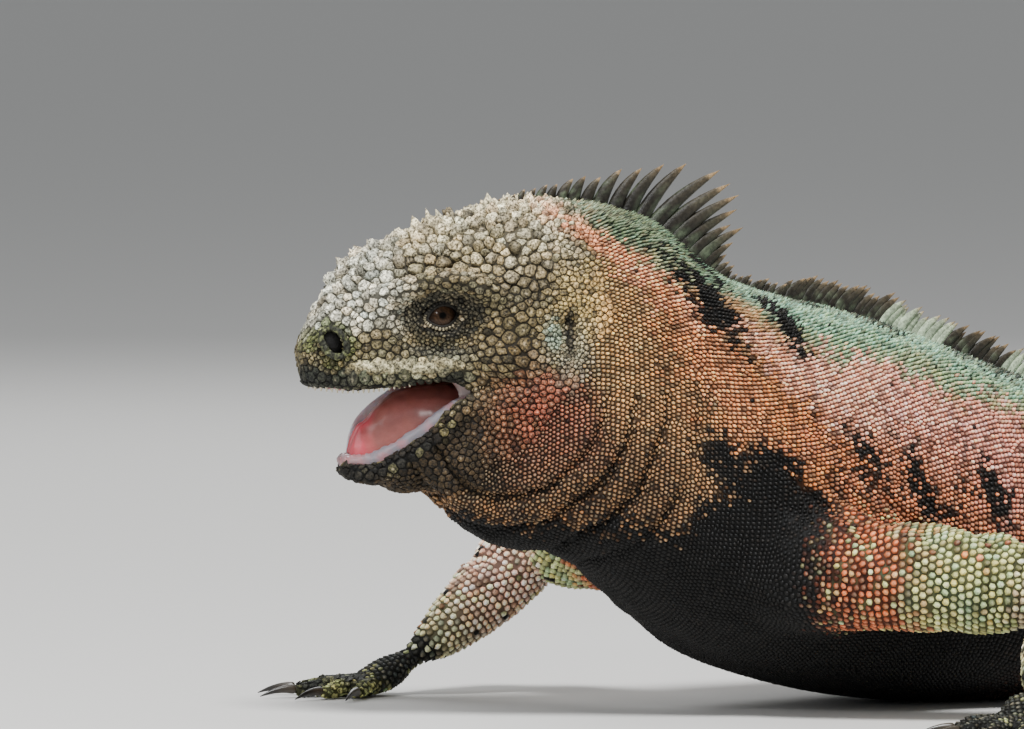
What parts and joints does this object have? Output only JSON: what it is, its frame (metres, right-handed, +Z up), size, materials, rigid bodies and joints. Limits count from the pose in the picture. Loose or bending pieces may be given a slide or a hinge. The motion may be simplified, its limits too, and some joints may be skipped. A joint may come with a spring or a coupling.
{
  "type": "marine iguana model",
  "caption": "Life-size still model of a marine iguana at rest, head raised and mouth open, with a crest of spines down the back and clawed feet.",
  "frame": {"origin": "on the floor, in the middle of the flat under the belly", "axes": "+Z up, -X the way the animal faces, +X along the tail, -Y its left side"},
  "size_m": [0.8499, 0.3266, 0.1567],
  "materials": {
    "hide_head": "painted scaly hide, grey and olive",
    "hide_jaw": "painted scaly hide, near black with yellow spots",
    "tongue": "moist pink",
    "eye": "polished, brown iris",
    "hide_neck": "painted scaly hide, golden brown and red",
    "hide_torso": "painted scaly hide, red with black marks",
    "hide_tail": "painted scaly hide, dark grey brown",
    "hide_leg": "painted scaly hide, pale green",
    "hide_foot": "painted scaly hide, dark grey",
    "claw": "dark horn"
  },
  "bodies": {
    "root": {"head": "hide_head", "lower_jaw": "hide_jaw", "tongue": "tongue", "eye_left": "eye", "eye_right": "eye", "neck": "hide_neck", "torso": "hide_torso", "tail_base": "hide_tail", "tail_middle": "hide_tail", "tail_end": "hide_tail", "tail_tip": "hide_tail", "upper_arm_left": "hide_leg", "forearm_left": "hide_leg", "hand_left": "hide_foot", "upper_arm_right": "hide_leg", "forearm_right": "hide_leg", "hand_right": "hide_foot", "thigh_left": "hide_leg", "shin_left": "hide_leg", "foot_left": "hide_foot", "thigh_right": "hide_leg", "shin_right": "hide_leg", "foot_right": "hide_foot", "claw_hand_left_1": "claw", "claw_hand_left_2": "claw", "claw_hand_left_3": "claw", "claw_hand_left_4": "claw", "claw_hand_left_5": "claw", "claw_hand_right_1": "claw", "claw_hand_right_2": "claw", "claw_hand_right_3": "claw", "claw_hand_right_4": "claw", "claw_hand_right_5": "claw", "claw_foot_left_1": "claw", "claw_foot_left_2": "claw", "claw_foot_left_3": "claw", "claw_foot_left_4": "claw", "claw_foot_left_5": "claw", "claw_foot_right_1": "claw", "claw_foot_right_2": "claw", "claw_foot_right_3": "claw", "claw_foot_right_4": "claw", "claw_foot_right_5": "claw"}
  },
  "joints": []
}
